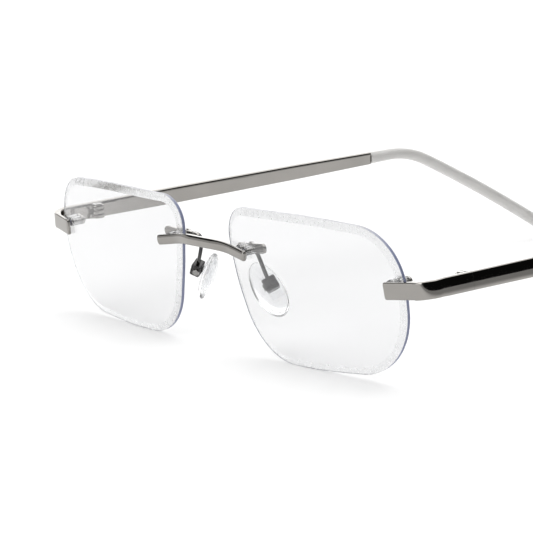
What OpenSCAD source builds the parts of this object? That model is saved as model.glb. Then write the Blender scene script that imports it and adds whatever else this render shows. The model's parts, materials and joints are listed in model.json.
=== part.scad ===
// Rimless eyeglasses with drilled lenses, a metal bridge, wire pad arms, barrel hinges and sleeved temples.
// Millimetres. +X is the wearer's left, +Y runs back along the temples, +Z is up.
// The pair stands open on the lower edges of its lenses and on the ends of its temple tips.

/* [Lenses] */
// Width of one lens
lens_w = 51.4; // [49:0.2:53]
// Gap between the lenses at their closest
lens_gap = 16.5; // [15.5:0.5:19]
// Thickness of a lens
lens_t = 1; // [1:0.1:1.6]
// Radius of the front surface
lens_r = 150; // [120:5:200]
// Lean of the lens tops towards the front, in degrees
lens_pan = 8.5; // [6:0.5:10]
// Turn of each lens towards the temple, in degrees
lens_wrap = 3.5; // [2:0.5:5]

/* [Bridge and mounts] */
// Height of the bridge bar
bridge_h = 2.1; // [1.8:0.1:2.4]
// Depth of the bridge bar at its middle
bridge_t = 1.5; // [1.2:0.1:1.8]
// Depth of a foot where it lies on a lens
foot_t = 1.2; // [1:0.1:1.4]
// Height of an endpiece on the lens
plate_h = 3.4; // [3:0.1:3.5]
// Distance between the two studs of a mount
stud_gap = 2; // [2:0.1:2.6]
// Radius of a stud
stud_r = 0.45; // [0.4:0.05:0.5]
// Radius of a nut
nut_r = 0.95; // [0.85:0.05:0.95]

/* [Nose pads] */
// Length of a pad
pad_len = 12.5; // [11:0.5:13.5]
// Width of a pad
pad_w = 6; // [5.5:0.5:7]
// Tilt of a pad from upright, tops together, in degrees
pad_tilt = 36; // [30:1:40]
// Lean of a pad's top towards the front, in degrees
pad_lean = 11; // [6:1:14]
// Turn of a pad's face towards the wearer, in degrees
pad_splay = 30; // [25:1:35]
// Radius of the pad arm wire
wire_r = 0.4; // [0.35:0.05:0.5]

/* [Hinges] */
// Distance of the outer face of an endpiece from the middle
outer_x = 66.1; // [65.6:0.1:67.2]
// Distance of the hinge pins behind the lens centres
hinge_y = 14.5; // [14:0.5:16]
// Radius of a hinge barrel
barrel_r = 1.4; // [1.3:0.05:1.5]
// Radius of the hinge screw
hinge_screw_r = 0.6; // [0.5:0.05:0.7]
// Radial clearance of the turning knuckle on its screw
hinge_play = 0.04; // [0.03:0.01:0.06]

/* [Temples] */
// Thickness of a temple bar at the hinge
bar_t = 1.8; // [1.6:0.1:2]
// Rise of a temple going back, in degrees
temple_slope = 3.2; // [2.5:0.1:4]
// Distance from the hinge to the start of the bend
bend_start = 84; // [80:1:88]
// Radius of the bend over the ear
bend_r = 22; // [18:1:26]
// Droop of the tip behind the bend, in degrees
tip_droop = 26.5; // [24:0.5:30]
// Inward lean of the tip, in degrees
tip_lean = 4.5; // [3:0.5:6]
// Where the tip sleeve begins, measured from the hinge
sleeve_start = 78; // [74:1:80]

/* [Hidden] */
$fn = 48;
LEFT = 1;
RIGHT = -1;
SIDES = [LEFT, RIGHT];
eps = 0.01;

// Shapes: sides of a swept section, and how square its corners are (1 is an ellipse)
section_sides = 20;
squareness = 0.42;
arc_steps = 8;

// Lens outline corners: [towards the temple, up, corner radius], for a lens 51.4 wide
lens_scale = lens_w / 51.4;
lens_corners = lens_scale * [
  [-26.85, 14.8, 6.2],
  [-24.25, 0.3, 45],
  [-18.85, -15.7, 14],
  [-1.55, -15.4, 150],
  [25.05, -13.7, 15],
  [25.75, 4.5, 10.8],
  [23.15, 14.5, 11.7],
  [2.55, 16, 199]
];
lens_half_h = 15.42 * lens_scale;
lens_x = (lens_gap + lens_w) / 2;
lens_z = lens_half_h * cos(lens_pan) - sag(0, lens_half_h) * sin(lens_pan);

// Mounts: place on the lens, towards the temple and up, and slope of the foot
nose_u = -21.75 * lens_scale;
nose_v = 6 * lens_scale;
nose_roll = -7;
nose_lift = 0.2;
side_u = 23.05 * lens_scale;
side_v = 3.5 * lens_scale;
side_roll = 4;
side_lift = 0.9;
seat_gap = 0.06;
bush_r = stud_r + 0.15;
collar_len = 2.2;
collar_r = 0.9;
collar_gap = 0.02;
stud_proud = 0.15;
rear_plate_t = 0.6;
rear_plate_h = 2;
nose_plate_in = 5.2;
nose_plate_out = 5.1;
nose_plate_roll = 13;
nut_t = 0.8;
rear_y = lens_t + collar_len;

// Bridge
bridge_z = 22.1;
bridge_y = -1.5;
bridge_flat = 3;
bridge_ease = 2.6;
foot_out = 2.7;
foot_in = 2.2;

// Endpieces
plate_t = 0.8;
plate_in = 1.7;
corner_r = 4.4;
bar_h_hinge = 3.6;
hinge_gap = 0.04;

// Hinges
bar_x = outer_x - bar_t / 2;
leaf_t = barrel_r + 0.05;
hinge_x = outer_x - bar_t - leaf_t;
hinge_z = 20.3;
knuckle_low = -1.5;
knuckle_high = 1.35;
knuckle_mid = 0.55;
knuckle_gap = 0.04;
leaf_len = 5.5;
leaf_half_h = 1.3;
screw_head_r = 1.05;
screw_head_t = 0.28;

// Temples
tip_r = 400;
bend_turn = temple_slope + tip_droop;
bend_len = bend_r * bend_turn * PI / 180;
bend_end = bend_start + bend_len;
tip_end_half_h = 1.45;
tip_nose = 2.2;
end_slope = tip_droop + 6;
end_drop = tip_nose * sin(end_slope);
// How far the rounded end of a tip reaches below the end of its centre line
tip_low = norm([end_drop, tip_end_half_h * cos(end_slope)]) - end_drop;
drop_to_floor = temple_z(bend_end) - tip_low;
tip_end_pitch = acos(cos(tip_droop) - drop_to_floor / tip_r);
temple_len = bend_end + tip_r * (tip_end_pitch - tip_droop) * PI / 180;
core_r = 0.65;
core_end = bend_end + 24;
sleeve_r = core_r + 0.04;

// Nose pads
pad_pos = [11.2, 8.4, 13.1];
pad_side = 0.8;
pad_t = 2.6;
box_off = 2.6;
box_front = -0.7;
box_size = [2.1, 2.8, 2.8];
box_wall = 0.45;
lug_half = [0.7, 0.65, 0.75];
lug_room = 0.2;
pad_screw_r = 0.35;
pad_screw_head = [0.7, 0.3];
insert_t = 0.3;
insert_size = [2.6, 5.2];
pad_play = 0.04;

// Pad arm: where it leaves the rear plate, and the pulls that shape its curve
arm_from = -3;
arm_lead = [-0.2, 3.4, -0.4];
arm_drop = [-2, -0.7, 3.6];
arm_steps = 14;

// The whole pair is centred front to back
front_most = bridge_y - bridge_t / 2;
rear_most = hinge_y + temple_y(temple_len);
shift_y = -(front_most + rear_most) / 2;

// ---- vectors ----
function rot_x(a, p) = [p.x, p.y * cos(a) - p.z * sin(a), p.y * sin(a) + p.z * cos(a)];
function rot_y(a, p) = [p.x * cos(a) + p.z * sin(a), p.y, p.z * cos(a) - p.x * sin(a)];
function rot_z(a, p) = [p.x * cos(a) - p.y * sin(a), p.x * sin(a) + p.y * cos(a), p.z];
function unit(p) = p / norm(p);
function flip_x(p) = [-p.x, p.y, p.z];
function mix(a, b, t) = a + (b - a) * t;
function smooth(t) = t * t * (3 - 2 * t);
function bezier(p, t) =
  p[0] * pow(1 - t, 3) + p[1] * 3 * t * pow(1 - t, 2) + p[2] * 3 * t * t * (1 - t) + p[3] * pow(t, 3);

// ---- swept sections ----
function signed_pow(x, e) = sign(x) * pow(abs(x), e);
// A closed section round c: half widths a along side and b along up
function ring(c, side, up, a, b, sq = squareness, n = section_sides) = [
  for (i = [0 : n - 1])
    let (w = 360 * (i + 0.5) / n)
      c + side * a * signed_pow(cos(w), sq) + up * b * signed_pow(sin(w), sq)
];

// A solid skin over a list of sections with the same number of points
module skin(rings) {
  n = len(rings[0]);
  last = len(rings) - 1;
  points = [for (r = rings) each r];
  walls = [
    for (j = [0 : last - 1])
      for (i = [0 : n - 1])
        [j * n + i, j * n + (i + 1) % n, (j + 1) * n + (i + 1) % n, (j + 1) * n + i]
  ];
  first_cap = [for (i = [0 : n - 1]) n - 1 - i];
  last_cap = [for (i = [0 : n - 1]) last * n + i];
  polyhedron(points, concat([first_cap], walls, [last_cap]));
}

// ---- lens geometry ----
function sag(u, v) = lens_r - sqrt(lens_r * lens_r - u * u - v * v);
function lens_dir(p) = rot_z(lens_wrap, rot_x(lens_pan, p));
function lens_pos(u, v) = [lens_x, 0, lens_z] + lens_dir([u, sag(u, v), v]);
// A direction in a mount's own frame: x along the foot, y into the lens, z up
function mount_dir(u, v, roll, p) =
  lens_dir(rot_z(asin(u / lens_r), rot_x(-asin(v / lens_r), rot_y(-roll, p))));
function side_dir(p) = mount_dir(side_u, side_v, side_roll, p);
function side_pos(p) = lens_pos(side_u, side_v) + side_dir(p);
function nose_dir(p) = mount_dir(nose_u, nose_v, nose_roll, p);
function nose_pos(p) = lens_pos(nose_u, nose_v) + nose_dir(p);

// Points of the arc that rounds corner p between neighbours a and b
function corner_arc(a, p, b, r) =
  let (
    da = unit(a - p),
    db = unit(b - p),
    half = acos(da * db) / 2,
    centre = p + unit(da + db) * r / sin(half),
    from = p + da * r / tan(half) - centre,
    start = atan2(from.y, from.x),
    turn = 180 - 2 * half
  )
  [for (i = [0 : arc_steps]) centre + r * [cos(start + turn * i / arc_steps), sin(start + turn * i / arc_steps)]];

lens_outline = [
  for (i = [0 : len(lens_corners) - 1])
    let (
      n = len(lens_corners),
      before = lens_corners[(i + n - 1) % n],
      here = lens_corners[i],
      after = lens_corners[(i + 1) % n]
    )
    each corner_arc([before.x, before.y], [here.x, here.y], [after.x, after.y], here.z)
];

// ---- temple path, measured from the hinge pin ----
function temple_pitch(s) =
  s < bend_start ? temple_slope
  : s < bend_end ? temple_slope - bend_turn * (s - bend_start) / bend_len
  : -tip_droop - (s - bend_end) / tip_r * 180 / PI;
function temple_y(s) =
  s < bend_start ? s * cos(temple_slope)
  : s < bend_end ? temple_y(bend_start - eps) + bend_r * (sin(temple_slope) - sin(temple_pitch(s)))
  : temple_y(bend_end - eps) + tip_r * (-sin(tip_droop) - sin(temple_pitch(s)));
function temple_z(s) =
  s < bend_start ? hinge_z + s * sin(temple_slope)
  : s < bend_end ? temple_z(bend_start - eps) + bend_r * (cos(temple_pitch(s)) - cos(temple_slope))
  : temple_z(bend_end - eps) + tip_r * (cos(temple_pitch(s)) - cos(tip_droop));
function temple_in(s) =
  s < bend_start ? 0
  : s < bend_end ? pow(s - bend_start, 2) / (2 * bend_len) * sin(tip_lean)
  : (bend_len / 2 + s - bend_end) * sin(tip_lean);
function temple_pos(s) = [bar_x - temple_in(s), hinge_y + temple_y(s), temple_z(s)];
function temple_up(s) = [0, -sin(temple_pitch(s)), cos(temple_pitch(s))];
function temple_ring(s, half_t, half_h, sq) =
  ring(temple_pos(s), [1, 0, 0], temple_up(s), half_t, half_h, sq);
function bar_h(s) = lookup(s, [[0, bar_h_hinge], [22, 3.8], [55, 3.5], [sleeve_start, 2.9]]);
function bar_thick(s) = lookup(s, [[0, bar_t], [30, bar_t], [sleeve_start, 1.5]]);

// ---- placing ----
module placed(side) {
  translate([0, shift_y, 0])
    mirror([side == RIGHT ? 1 : 0, 0, 0])
      children();
}

module at_mount(u, v, roll) {
  translate(lens_pos(u, v))
    rotate([lens_pan, 0, lens_wrap])
      rotate([-asin(v / lens_r), 0, asin(u / lens_r)])
        rotate([0, -roll, 0])
          children();
}

// A cylinder that runs along +Y from y = 0
module rod(r, h) {
  rotate([-90, 0, 0])
    cylinder(r = r, h = h);
}

// The two stud places of a mount, at a depth behind the front of the lens
module nose_studs(depth = 0) {
  at_mount(nose_u, nose_v, nose_roll)
    for (x = [-stud_gap / 2, stud_gap / 2])
      translate([x, depth, nose_lift])
        children();
}

module side_studs(depth = 0) {
  at_mount(side_u, side_v, side_roll)
    for (x = [-stud_gap / 2, stud_gap / 2])
      translate([x, depth, side_lift])
        children();
}

// ---- lenses and their mounts ----
module lens(side) {
  color([0.85, 0.88, 0.95, 0.35])
    placed(side)
      difference() {
        translate([lens_x, 0, lens_z])
          rotate([lens_pan, 0, lens_wrap])
            intersection() {
              rotate([90, 0, 0])
                translate([0, 0, -12])
                  linear_extrude(14)
                    polygon(lens_outline);
              difference() {
                translate([0, lens_r, 0])
                  sphere(r = lens_r);
                translate([0, lens_r, 0])
                  sphere(r = lens_r - lens_t);
              }
            }
        nose_studs(-1)
          rod(bush_r, lens_t + 2);
        side_studs(-1)
          rod(bush_r, lens_t + 2);
      }
}

module lens_studs() {
  side_len = seat_gap + rear_y + nut_t + stud_proud;
  color("silver")
    for (side = SIDES)
      placed(side) {
        nose_studs(-seat_gap)
          rod(stud_r, side_len + rear_plate_t);
        side_studs(-seat_gap)
          rod(stud_r, side_len);
      }
}

// A clear sleeve through the lens, with a collar behind it
module bush() {
  difference() {
    union() {
      rod(bush_r, rear_y);
      translate([0, lens_t + collar_gap, 0])
        rod(collar_r, collar_len - collar_gap);
    }
    translate([0, -1, 0])
      rod(stud_r, rear_y + 2);
  }
}

module lens_bushes() {
  color("whitesmoke")
    for (side = SIDES)
      placed(side) {
        nose_studs()
          bush();
        side_studs()
          bush();
      }
}

module nut() {
  difference() {
    union() {
      rod(nut_r, nut_t * 0.6);
      translate([0, nut_t * 0.6, 0])
        rotate([-90, 0, 0])
          cylinder(r1 = nut_r, r2 = nut_r * 0.7, h = nut_t * 0.4);
    }
    translate([0, -1, 0])
      rod(stud_r, nut_t + 2);
  }
}

module lens_nuts() {
  color("silver")
    for (side = SIDES)
      placed(side) {
        nose_studs(rear_y + rear_plate_t)
          nut();
        side_studs(rear_y)
          nut();
      }
}

// A flat plate with round ends behind a lens, which carries the pad arm
module slot_plate(x0, x1, h) {
  translate([x0 + h / 2, 0, 0])
    rod(h / 2, rear_plate_t);
  translate([x1 - h / 2, 0, 0])
    rod(h / 2, rear_plate_t);
  translate([x0 + h / 2, 0, -h / 2])
    cube([x1 - x0 - h, rear_plate_t, h]);
}

module bridge_rear_plate(side) {
  color("silver")
    placed(side)
      at_mount(nose_u, nose_v, nose_roll)
        translate([0, rear_y, nose_lift])
          difference() {
            rotate([0, -nose_plate_roll, 0])
              slot_plate(-nose_plate_in, nose_plate_out, rear_plate_h);
            for (x = [-stud_gap / 2, stud_gap / 2])
              translate([x, -1, 0])
                rod(stud_r, rear_plate_t + 2);
          }
}

// ---- bridge ----
function foot_ring(x, grow) =
  ring(nose_pos([x, -seat_gap - foot_t / 2, 0]), nose_dir([0, 1, 0]), nose_dir([0, 0, 1]),
       foot_t / 2 * grow, bridge_h / 2 * grow);
foot_inner = nose_pos([-foot_in, -seat_gap - foot_t / 2, 0]);
bridge_curve = [
  foot_inner,
  foot_inner + nose_dir([-bridge_ease, 0, 0]),
  [bridge_flat + bridge_ease, bridge_y, bridge_z],
  [bridge_flat, bridge_y, bridge_z]
];
function bridge_ring(t) =
  ring(bezier(bridge_curve, t),
       unit(mix(nose_dir([0, 1, 0]), [0, 1, 0], smooth(t))),
       unit(mix(nose_dir([0, 0, 1]), [0, 0, 1], smooth(t))),
       mix(foot_t, bridge_t, smooth(t)) / 2, bridge_h / 2);
half_bridge = concat(
  [foot_ring(foot_out + 0.35, 0.7), foot_ring(foot_out, 1)],
  [for (i = [0 : 8]) bridge_ring(i / 8)]
);

module bridge() {
  other_half = [for (i = [len(half_bridge) - 1 : -1 : 0]) [for (p = half_bridge[i]) flip_x(p)]];
  color([0.66, 0.64, 0.61])
    translate([0, shift_y, 0])
      skin(concat(half_bridge, other_half));
}

// ---- endpieces ----
// The outer face runs along the lens, round the corner and back to the hinge
plate_start = side_pos([-plate_in, -seat_gap - plate_t, 0]);
plate_run = side_dir([1, 0, 0]);
plate_angle = atan2(plate_run.y, plate_run.x);
plate_rise = plate_run.z / norm([plate_run.x, plate_run.y]);
corner_turn = 90 - plate_angle;
corner_cut = corner_r * tan(corner_turn / 2);
corner_at = [
  outer_x,
  plate_start.y + (outer_x - plate_start.x) * tan(plate_angle)
];
plate_len = (outer_x - plate_start.x) / cos(plate_angle) - corner_cut;
corner_centre = [outer_x - corner_r, corner_at.y + corner_cut];
side_len = hinge_y - hinge_gap - corner_centre.y;
plate_top_z = plate_start.z + plate_rise * plate_len;
side_start_z = hinge_z - side_len * tan(temple_slope);

// Thickness grows from the plate on the lens to the full bar
function end_thick(t) = mix(plate_t, bar_t, smooth(t));
function plate_ring(d, thick, grow = 1) =
  let (
    out = side_dir([0, -1, 0]),
    place = plate_start + plate_run * d
  )
  ring(place - out * thick / 2, -out, side_dir([0, 0, 1]), thick / 2 * grow, plate_h / 2 * grow);
function corner_ring(t) =
  let (
    w = plate_angle + corner_turn * t - 90,
    out = [cos(w), sin(w), 0],
    thick = end_thick(0.6 + 0.4 * t),
    flat = [corner_centre.x, corner_centre.y, 0] + out * (corner_r - thick / 2),
    up = unit(mix(side_dir([0, 0, 1]), temple_up(0), t))
  )
  ring([flat.x, flat.y, mix(plate_top_z, side_start_z, t)],
       unit(cross(up, cross(-out, up))), up, thick / 2, mix(plate_h, bar_h_hinge - 0.1, t) / 2);
function side_ring(y) =
  ring([bar_x, y, hinge_z - (hinge_y - y) * tan(temple_slope)], [-1, 0, 0], temple_up(0),
       bar_t / 2, bar_h_hinge / 2);

module endpiece(side) {
  on_lens = lens_w / 2 - side_u + plate_in + 0.6;
  rings = concat(
    [plate_ring(0, plate_t, 0.75), plate_ring(0.3, plate_t), plate_ring(on_lens, plate_t)],
    [for (i = [1 : 3]) plate_ring(mix(on_lens, plate_len, i / 4), end_thick(0.6 * i / 4))],
    [for (i = [0 : 8]) corner_ring(i / 8)],
    [for (i = [1 : 2]) side_ring(mix(corner_centre.y, hinge_y - hinge_gap, i / 2))]
  );
  color([0.66, 0.64, 0.61])
    placed(side)
      skin([for (i = [len(rings) - 1 : -1 : 0]) rings[i]]);
}

// ---- hinges ----
module at_hinge(side) {
  placed(side)
    translate([hinge_x, hinge_y, hinge_z])
      rotate([temple_slope, 0, 0])
        children();
}

// One knuckle from z0 to z1, joined to its leaf on the side towards dir
module knuckle(z0, z1, dir) {
  translate([0, 0, z0])
    cylinder(r = barrel_r, h = z1 - z0);
  translate([0, dir > 0 ? 0 : -barrel_r - 0.6, z0])
    cube([leaf_t, barrel_r + 0.6, z1 - z0]);
}

module leaf(dir) {
  start = barrel_r + knuckle_gap;
  translate([leaf_t - 0.8, dir > 0 ? start : -leaf_len, -leaf_half_h])
    cube([0.8, leaf_len - start, 2 * leaf_half_h]);
}

module hinge_front(side) {
  color("silver")
    at_hinge(side)
      difference() {
        union() {
          knuckle(knuckle_low, -knuckle_mid, -1);
          knuckle(knuckle_mid, knuckle_high, -1);
          leaf(-1);
        }
        translate([0, 0, knuckle_low - 1])
          cylinder(r = hinge_screw_r + eps, h = knuckle_high - knuckle_low + 2);
      }
}

module hinge_rear(side) {
  half = knuckle_mid - knuckle_gap;
  color("silver")
    at_hinge(side)
      difference() {
        union() {
          knuckle(-half, half, 1);
          leaf(1);
        }
        translate([0, 0, -half - 1])
          cylinder(r = hinge_screw_r + hinge_play, h = 2 * half + 2);
      }
}

module hinge_screw(side) {
  color("gainsboro")
    at_hinge(side)
      difference() {
        union() {
          translate([0, 0, knuckle_low])
            cylinder(r = hinge_screw_r, h = knuckle_high - knuckle_low);
          translate([0, 0, knuckle_high])
            cylinder(r = screw_head_r, h = screw_head_t);
        }
        translate([-screw_head_r - 1, -0.12, knuckle_high + screw_head_t - 0.2])
          cube([2 * screw_head_r + 2, 0.24, 1]);
      }
}

// ---- temples ----
module temple_bar(side) {
  bar_rings = [
    for (s = [hinge_gap, 4, 10, 16, 22, 38, 55, 66, sleeve_start - hinge_gap])
      temple_ring(s, bar_thick(s) / 2, bar_h(s) / 2, squareness)
  ];
  core_rings = [
    for (i = [0 : 12])
      let (s = mix(sleeve_start, core_end, i / 12))
      temple_ring(s, core_r, core_r, 1)
  ];
  color([0.66, 0.64, 0.61])
    placed(side)
      skin(concat(bar_rings, core_rings));
}

// Half thickness and half height of the sleeve at s
function tip_half_t(s) = lookup(s, [[sleeve_start, 1.15], [bend_start, 1.4], [temple_len, 1.5]]);
function tip_half_h(s) = lookup(s, [[sleeve_start, 1.4], [bend_start, 1.3], [temple_len, tip_end_half_h]]);
function tip_ring(s, grow) = temple_ring(s, tip_half_t(s) * grow, tip_half_h(s) * grow, 0.75);

module temple_tip(side) {
  bore_rings = [
    for (i = [12 : -1 : 0])
      let (s = mix(sleeve_start, core_end + 0.5, i / 12))
      temple_ring(s, sleeve_r, sleeve_r, 1)
  ];
  sleeve_rings = [
    for (i = [0 : 20])
      let (s = mix(sleeve_start, temple_len - tip_nose, i / 20))
      tip_ring(s, 1)
  ];
  nose_rings = [
    for (w = [20 : 20 : 80])
      tip_ring(temple_len - tip_nose * (1 - sin(w)), cos(w))
  ];
  color([0.8, 0.79, 0.77])
    placed(side)
      skin(concat(bore_rings, sleeve_rings, nose_rings));
}

// ---- nose pads ----
// The pad's own frame: x away from the nose, y across the pad, z along it
module at_pad(side) {
  placed(side)
    translate(pad_pos)
      rotate([pad_lean, 0, 0])
        rotate([0, -pad_tilt, 0])
          rotate([0, 0, -pad_splay])
            children();
}
function pad_dir(p) = rot_x(pad_lean, rot_y(-pad_tilt, rot_z(-pad_splay, p)));

// The wire runs back from the rear plate, turns down and ends in the top of the box
module pad_arm(side) {
  start = nose_pos([arm_from, rear_y + rear_plate_t / 2, nose_lift]);
  finish = pad_pos + pad_dir([box_off + box_front + box_size.x / 2, 0, box_size.z / 2 - 0.3]);
  curve = [start, start + arm_lead, finish + arm_drop, finish];
  wire = [for (i = [0 : arm_steps]) bezier(curve, i / arm_steps)];
  color("silver")
    placed(side)
      skin([
        for (i = [0 : arm_steps])
          let (
            along = unit(wire[min(arm_steps, i + 1)] - wire[max(0, i - 1)]),
            across = unit(cross(along, [1, 0, 0])),
            up = cross(across, along)
          )
          ring(wire[i], across, up, wire_r, wire_r, 1, 12)
      ]);
}

// An open box that holds the pad's lug between its two ears
module pad_box(side) {
  pocket = [box_size.x, 2 * lug_half.y + lug_room, 2 * (lug_half.z + lug_room)];
  color("silver")
    at_pad(side)
      difference() {
        translate([box_off + box_front, -box_size.y / 2, -box_size.z / 2])
          cube(box_size);
        translate([box_off + box_front - box_wall, -pocket.y / 2, -pocket.z / 2])
          cube(pocket);
        translate([box_off, -box_size.y / 2 - 1, 0])
          rod(pad_screw_r + eps, box_size.y + 2);
      }
}

module pad_screw(side) {
  color("gainsboro")
    at_pad(side)
      translate([box_off, -box_size.y / 2, 0]) {
        rod(pad_screw_r, box_size.y);
        translate([0, -pad_screw_head.y, 0])
          rod(pad_screw_head.x, pad_screw_head.y);
      }
}

// The metal insert inside the pad, with the lug that hangs on the screw
module pad_insert(side) {
  color("silver")
    at_pad(side) {
      difference() {
        translate([2 * insert_t, -lug_half.y, -lug_half.z])
          cube([box_off + lug_half.x - 2 * insert_t, 2 * lug_half.y, 2 * lug_half.z]);
        translate([box_off, -lug_half.y - 1, 0])
          rod(pad_screw_r + pad_play, 2 * lug_half.y + 2);
      }
      translate([insert_t, -insert_size.x / 2, -insert_size.y / 2])
        cube([insert_t, insert_size.x, insert_size.y]);
    }
}

// Oval pad: a lens-shaped cushion with a flat back
module nose_pad(side) {
  levels = [[-1, 0.45], [-0.8, 0.72], [-0.4, 0.93], [0.1, 1], [0.6, 0.94], [0.95, 0.78], [1, 0.6]];
  rings = [
    for (l = levels)
      [for (i = [0 : 27])
        let (w = -360 * i / 28, egg = 1 + 0.08 * sin(w))
        [l[0] * pad_t / 2, pad_w / 2 * l[1] * cos(w) / egg - pad_side, pad_len / 2 * l[1] * sin(w)]]
  ];
  color([0.92, 0.93, 0.93, 0.6])
    at_pad(side)
      difference() {
        skin(rings);
        translate([insert_t - eps, -insert_size.x / 2 - eps, -insert_size.y / 2 - eps])
          cube([insert_t + 2 * eps, insert_size.x + 2 * eps, insert_size.y + 2 * eps]);
        translate([insert_t, -lug_half.y - eps, -lug_half.z - eps])
          cube([pad_t, 2 * (lug_half.y + eps), 2 * (lug_half.z + eps)]);
      }
}

lens(LEFT);  // lens_left
lens(RIGHT);  // lens_right
bridge();
endpiece(LEFT);  // endpiece_left
endpiece(RIGHT);  // endpiece_right
bridge_rear_plate(LEFT);  // bridge_rear_plate_left
bridge_rear_plate(RIGHT);  // bridge_rear_plate_right
lens_studs();
lens_bushes();
lens_nuts();
pad_arm(LEFT);  // pad_arm_left
pad_arm(RIGHT);  // pad_arm_right
pad_box(LEFT);  // pad_box_left
pad_box(RIGHT);  // pad_box_right
pad_screw(LEFT);  // pad_screw_left
pad_screw(RIGHT);  // pad_screw_right
pad_insert(LEFT);  // pad_insert_left
pad_insert(RIGHT);  // pad_insert_right
nose_pad(LEFT);  // nose_pad_left
nose_pad(RIGHT);  // nose_pad_right
hinge_front(LEFT);  // hinge_front_left
hinge_front(RIGHT);  // hinge_front_right
hinge_screw(LEFT);  // hinge_screw_left
hinge_screw(RIGHT);  // hinge_screw_right
hinge_rear(LEFT);  // hinge_rear_left
hinge_rear(RIGHT);  // hinge_rear_right
temple_bar(LEFT);  // temple_bar_left
temple_bar(RIGHT);  // temple_bar_right
temple_tip(LEFT);  // temple_tip_left
temple_tip(RIGHT);  // temple_tip_right
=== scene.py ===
"""Rimless eyeglasses: the looks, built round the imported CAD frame.

Helper values are in millimetres in the CAD's own axes: +X to the wearer's left, +Y back, +Z up.
to_row() turns a point into the row frame, in metres.
"""

import json
import math

import bpy
from mathutils import Matrix, Vector


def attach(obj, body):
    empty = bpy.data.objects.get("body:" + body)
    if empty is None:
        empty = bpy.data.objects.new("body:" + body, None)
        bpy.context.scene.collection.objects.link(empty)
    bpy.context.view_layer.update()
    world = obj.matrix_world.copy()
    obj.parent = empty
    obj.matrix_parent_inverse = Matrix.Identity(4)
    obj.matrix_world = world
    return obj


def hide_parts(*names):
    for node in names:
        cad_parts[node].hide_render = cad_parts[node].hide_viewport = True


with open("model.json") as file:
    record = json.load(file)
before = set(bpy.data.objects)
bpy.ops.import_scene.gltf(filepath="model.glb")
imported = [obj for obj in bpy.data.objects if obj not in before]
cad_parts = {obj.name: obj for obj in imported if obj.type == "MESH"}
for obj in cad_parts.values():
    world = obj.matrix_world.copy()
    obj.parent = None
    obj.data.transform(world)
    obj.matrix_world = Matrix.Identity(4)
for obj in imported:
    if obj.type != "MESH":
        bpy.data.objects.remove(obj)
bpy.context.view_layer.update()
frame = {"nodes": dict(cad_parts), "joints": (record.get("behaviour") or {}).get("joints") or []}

# ---------------------------------------------------------------- sizes, in millimetres
MM = 0.001
SIDES = {"left": 1, "right": -1}

# Lenses. Pan is the lean of a lens and wrap its turn towards the temple, in degrees.
LENS_W, LENS_GAP, LENS_T, LENS_R = 51.4, 16.5, 1, 150
LENS_PAN, LENS_WRAP = 8.5, 3.5
LENS_HALF_H = 15.42
# Outline corners: towards the temple, up, corner radius
LENS_CORNERS = [
    (-26.85, 14.8, 6.2),
    (-24.25, 0.3, 45),
    (-18.85, -15.7, 14),
    (-1.55, -15.4, 150),
    (25.05, -13.7, 15),
    (25.75, 4.5, 10.8),
    (23.15, 14.5, 11.7),
    (2.55, 16, 199),
]
BEVEL_W, BEVEL_DEPTH, BACK_BEVEL = 1.5, 0.25, 0.12
OUTLINE_POINTS, LENS_ROWS = 260, 14

# Mounts on a lens: towards the temple, up, slope in degrees
NOSE_MOUNT = (-21.75, 6, -7)
SIDE_MOUNT = (23.05, 3.5, 4)
STUD_GAP, HOLE_R, SEAT_GAP = 2, 0.6, 0.06
NOSE_LIFT, SIDE_LIFT = 0.2, 0.9     # how far the holes lie above the middle of their mount

# Bridge
BRIDGE_H, BRIDGE_T, FOOT_T = 2.1, 1.48, 1.2
BRIDGE_Z, BRIDGE_Y, BRIDGE_FLAT, BRIDGE_EASE = 22.1, -1.5, 3, 2.6
BRIDGE_EDGE, BRIDGE_CROWN = 0.32, 24    # edge radius, half angle of the crowned faces in degrees
FOOT_OUT, FOOT_IN = 2.7, 2.2

# Endpieces and the temples' bars
PLATE_H, PLATE_T, PLATE_IN, CORNER_R = 3.4, 0.8, 1.7, 4.4
OUTER_X, BAR_T, BAR_H = 66.1, 1.8, 3.6
HINGE_GAP = 0.04
BAR_LEAN = 7.2                  # the temples lean inwards at the top, in degrees
BAR_CROWN = 9                   # half angle over which an outer face is crowned, in degrees

# Temples, along their run from the hinge. Slope, droop and lean are in degrees.
SLOPE, BEND_START, BEND_R, DROOP, TIP_LEAN, TIP_R = 3.2, 84, 22, 26.5, 4.5, 400
SLEEVE_START, TIP_NOSE, TIP_END_HALF_H = 78, 2.2, 1.45

# Nose pads, their boxes and their wires. Tilt, lean and splay are in degrees.
PAD_POS, PAD_LEN, PAD_W, PAD_T = Vector((11.2, 8.4, 13.1)), 12.5, 6, 2.6
PAD_TILT, PAD_LEAN, PAD_SPLAY, PAD_SIDE = 36, 11, 30, 0.8
BOX_OFF, BOX_FRONT, BOX_DEPTH, BOX_H = 2.6, -0.7, 2.1, 2.8
ARM_FROM, ARM_LEAD, ARM_DROP = -3, Vector((-0.2, 3.4, -0.4)), Vector((-2, -0.7, 3.6))
WIRE_R, REAR_Y, REAR_T = 0.4, LENS_T + 2.2, 0.6

# The hinge joint gives the hinge's place, and with it how far the pair is shifted front to back
HINGE_Y = 14.5
fold = next(j for j in frame["joints"] if j["name"] == "temple_left_fold")
HINGE_AT = Vector(fold["pos_m"]) / MM
SHIFT_Y = HINGE_AT.y - HINGE_Y
HINGE_Z = HINGE_AT.z
BAR_X = OUTER_X - BAR_T / 2


# ---------------------------------------------------------------- vectors and frames
def turn(axis, degrees):
    return Matrix.Rotation(math.radians(degrees), 3, axis)


def sin_cos(degrees):
    return math.sin(math.radians(degrees)), math.cos(math.radians(degrees))


def mix(a, b, t):
    return a + (b - a) * t


def smooth(t):
    return t * t * (3 - 2 * t)


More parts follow.
